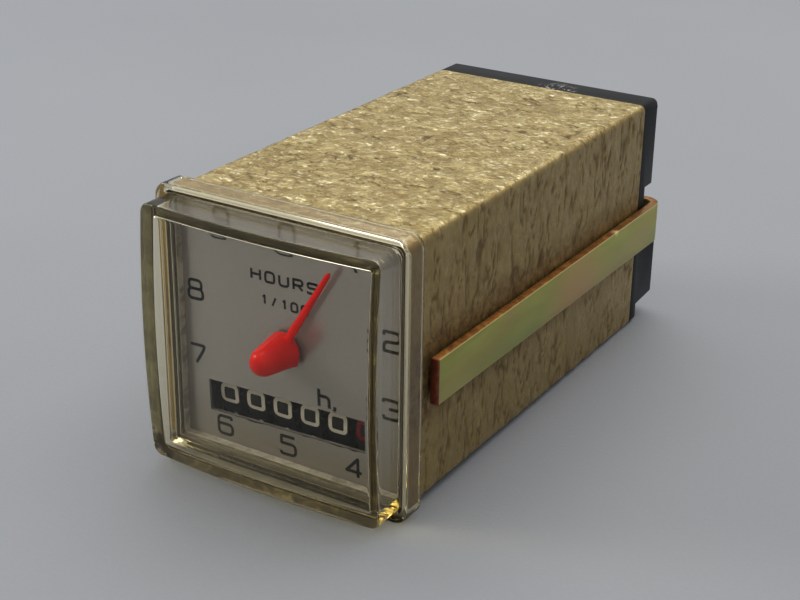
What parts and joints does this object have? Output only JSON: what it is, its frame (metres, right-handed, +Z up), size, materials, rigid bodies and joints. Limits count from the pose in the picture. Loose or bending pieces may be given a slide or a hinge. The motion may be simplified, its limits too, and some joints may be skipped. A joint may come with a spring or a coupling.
{
  "type": "panel hour meter",
  "caption": "Square panel-mount hour meter: domed clear front, red pointer on a numbered dial, drum counter window, long sheet case, U-shaped clamp strap with rear screw.",
  "frame": {"origin": "centre of the bezel flange's rear face, the face that seats on the panel", "axes": "+Y from the dial towards the terminals, +X to the dial's right, +Z up"},
  "size_m": [0.0492, 0.1036, 0.048],
  "materials": {
    "clear_plastic": "clear, aged yellowish moulded plastic, polished",
    "gold_sheet": "folded sheet with a gold-bronze hammered finish",
    "black_moulding": "black moulded plastic, satin",
    "zinc_strap": "yellow-passivated zinc plate",
    "plated_steel": "zinc-plated steel",
    "bright_steel": "ground steel",
    "brass": "machined brass",
    "tinned_brass": "tinned brass sheet",
    "dial_silver": "satin silver-grey paint",
    "pointer_red": "glossy red moulding",
    "drum_black": "black moulded plastic, digits printed",
    "nylon": "natural nylon",
    "plate_steel": "punched nickel-plated steel",
    "plate_brass": "punched brass plate",
    "magnet": "sintered ferrite",
    "copper_wire": "enamelled copper winding",
    "bobbin_plastic": "moulded bobbin",
    "seal_black": "thin black gasket",
    "wire_jacket": "flexible insulation"
  },
  "bodies": {
    "housing": {"case_shell": "gold_sheet", "bezel_flange": "clear_plastic", "front_lens": "clear_plastic", "lens_seal": "seal_black", "rear_block": "black_moulding", "rear_screws": "plated_steel", "threaded_insert": "brass", "terminal_blades": "tinned_brass", "dial_plate": "dial_silver", "front_plate": "plate_steel", "middle_plate": "plate_brass", "motor_plate": "plate_brass", "frame_pillars": "brass", "rear_pillars": "plated_steel", "frame_screws": "plated_steel", "pointer_bush": "brass", "left_cheek": "black_moulding", "right_cheek": "black_moulding", "drum_shaft": "bright_steel", "transfer_shaft": "bright_steel", "motor_can": "plated_steel", "stator_plate": "plated_steel", "pole_ring": "plated_steel", "coil_bobbin": "bobbin_plastic", "coil_winding": "copper_wire", "rotor_bearing": "brass", "lead_wires": "wire_jacket"},
    "clamp": {"clamp_bracket": "zinc_strap"},
    "screw": {"clamp_screw": "plated_steel"},
    "pointer_group": {"pointer": "pointer_red", "pointer_arbor": "bright_steel", "clutch_spring": "bright_steel", "clutch_collar": "brass", "worm": "brass"},
    "cross_group": {"cross_shaft": "bright_steel", "worm_wheel": "nylon", "cross_gear": "nylon"},
    "tenths_group": {"tenths_drum": "drum_black", "tenths_gear": "nylon"},
    "rotor": {"rotor_magnet": "magnet", "rotor_arbor": "bright_steel"},
    "first_group": {"first_arbor": "bright_steel", "first_wheel": "nylon"},
    "second_group": {"second_arbor": "bright_steel", "second_wheel": "brass"},
    "third_group": {"third_arbor": "bright_steel", "third_wheel": "brass"},
    "drive": {"drive_wheel": "brass"},
    "hour_drum_1": {"hour_drum_1": "drum_black"},
    "transfer_pinion_1": {"transfer_pinion_1": "nylon"},
    "hour_drum_2": {"hour_drum_2": "drum_black"},
    "transfer_pinion_2": {"transfer_pinion_2": "nylon"},
    "hour_drum_3": {"hour_drum_3": "drum_black"},
    "transfer_pinion_3": {"transfer_pinion_3": "nylon"},
    "hour_drum_4": {"hour_drum_4": "drum_black"},
    "transfer_pinion_4": {"transfer_pinion_4": "nylon"},
    "hour_drum_5": {"hour_drum_5": "drum_black"},
    "transfer_pinion_5": {"transfer_pinion_5": "nylon"}
  },
  "joints": [
    {"name": "clamp_slide", "type": "slide", "parent": "housing", "child": "clamp", "axis": [0, 1, 0], "range_m": [-0.0026, 0.006]},
    {"name": "screw_turn", "type": "hinge", "parent": "clamp", "child": "screw", "pos_m": [0, 0, -0.00185], "axis": [0, 1, 0], "range_deg": [-1340, 3090]},
    {"name": "pointer_spin", "type": "hinge", "parent": "housing", "child": "pointer_group", "pos_m": [0, 0, 0], "axis": [0, 1, 0], "continuous": true},
    {"name": "cross_spin", "type": "hinge", "parent": "housing", "child": "cross_group", "pos_m": [0, 0.01269, 0.0048], "axis": [1, 0, 0], "continuous": true},
    {"name": "tenths_spin", "type": "hinge", "parent": "housing", "child": "tenths_group", "pos_m": [0, 0.00855, -0.0121], "axis": [1, 0, 0], "continuous": true},
    {"name": "hour_drum_1_spin", "type": "hinge", "parent": "housing", "child": "hour_drum_1", "pos_m": [0, 0.00855, -0.0121], "axis": [1, 0, 0], "continuous": true},
    {"name": "transfer_pinion_1_spin", "type": "hinge", "parent": "housing", "child": "transfer_pinion_1", "pos_m": [0, 0.01891, -0.0121], "axis": [1, 0, 0], "continuous": true},
    {"name": "hour_drum_2_spin", "type": "hinge", "parent": "housing", "child": "hour_drum_2", "pos_m": [0, 0.00855, -0.0121], "axis": [1, 0, 0], "continuous": true},
    {"name": "transfer_pinion_2_spin", "type": "hinge", "parent": "housing", "child": "transfer_pinion_2", "pos_m": [0, 0.01891, -0.0121], "axis": [1, 0, 0], "continuous": true},
    {"name": "hour_drum_3_spin", "type": "hinge", "parent": "housing", "child": "hour_drum_3", "pos_m": [0, 0.00855, -0.0121], "axis": [1, 0, 0], "continuous": true},
    {"name": "transfer_pinion_3_spin", "type": "hinge", "parent": "housing", "child": "transfer_pinion_3", "pos_m": [0, 0.01891, -0.0121], "axis": [1, 0, 0], "continuous": true},
    {"name": "hour_drum_4_spin", "type": "hinge", "parent": "housing", "child": "hour_drum_4", "pos_m": [0, 0.00855, -0.0121], "axis": [1, 0, 0], "continuous": true},
    {"name": "transfer_pinion_4_spin", "type": "hinge", "parent": "housing", "child": "transfer_pinion_4", "pos_m": [0, 0.01891, -0.0121], "axis": [1, 0, 0], "continuous": true},
    {"name": "hour_drum_5_spin", "type": "hinge", "parent": "housing", "child": "hour_drum_5", "pos_m": [0, 0.00855, -0.0121], "axis": [1, 0, 0], "continuous": true},
    {"name": "transfer_pinion_5_spin", "type": "hinge", "parent": "housing", "child": "transfer_pinion_5", "pos_m": [0, 0.01891, -0.0121], "axis": [1, 0, 0], "continuous": true},
    {"name": "rotor_spin", "type": "hinge", "parent": "housing", "child": "rotor", "pos_m": [0, 0, 0], "axis": [0, 1, 0], "continuous": true},
    {"name": "first_spin", "type": "hinge", "parent": "housing", "child": "first_group", "pos_m": [-0.01013, 0, 0.00121], "axis": [0, 1, 0], "continuous": true},
    {"name": "second_spin", "type": "hinge", "parent": "housing", "child": "second_group", "pos_m": [-0.00383, 0, 0.00924], "axis": [0, 1, 0], "continuous": true},
    {"name": "third_spin", "type": "hinge", "parent": "housing", "child": "third_group", "pos_m": [0.00742, 0, 0.00742], "axis": [0, 1, 0], "continuous": true},
    {"name": "drive_spin", "type": "hinge", "parent": "housing", "child": "drive", "pos_m": [0, 0, 0], "axis": [0, 1, 0], "continuous": true}
  ],
  "couplings": [
    {"joint": "screw_turn", "follows": "clamp_slide", "rad_per_m": 8976},
    {"joint": "cross_spin", "follows": "pointer_spin", "ratio": 0.1},
    {"joint": "tenths_spin", "follows": "pointer_spin", "ratio": -0.1},
    {"joint": "hour_drum_1_spin", "follows": "pointer_spin", "ratio": -0.01},
    {"joint": "transfer_pinion_1_spin", "follows": "pointer_spin", "ratio": 0.025},
    {"joint": "hour_drum_2_spin", "follows": "pointer_spin", "ratio": -0.001},
    {"joint": "transfer_pinion_2_spin", "follows": "pointer_spin", "ratio": 0.0025},
    {"joint": "hour_drum_3_spin", "follows": "pointer_spin", "ratio": -0.0001},
    {"joint": "transfer_pinion_3_spin", "follows": "pointer_spin", "ratio": 0.00025},
    {"joint": "hour_drum_4_spin", "follows": "pointer_spin", "ratio": -0.00001},
    {"joint": "transfer_pinion_4_spin", "follows": "pointer_spin", "ratio": 0.000025},
    {"joint": "hour_drum_5_spin", "follows": "pointer_spin", "ratio": -0.000001},
    {"joint": "transfer_pinion_5_spin", "follows": "pointer_spin", "ratio": 0.0000025},
    {"joint": "first_spin", "follows": "rotor_spin", "ratio": -0.13333},
    {"joint": "second_spin", "follows": "rotor_spin", "ratio": 0.017778},
    {"joint": "third_spin", "follows": "rotor_spin", "ratio": -0.0033333},
    {"joint": "drive_spin", "follows": "rotor_spin", "ratio": 0.00066667}
  ]
}
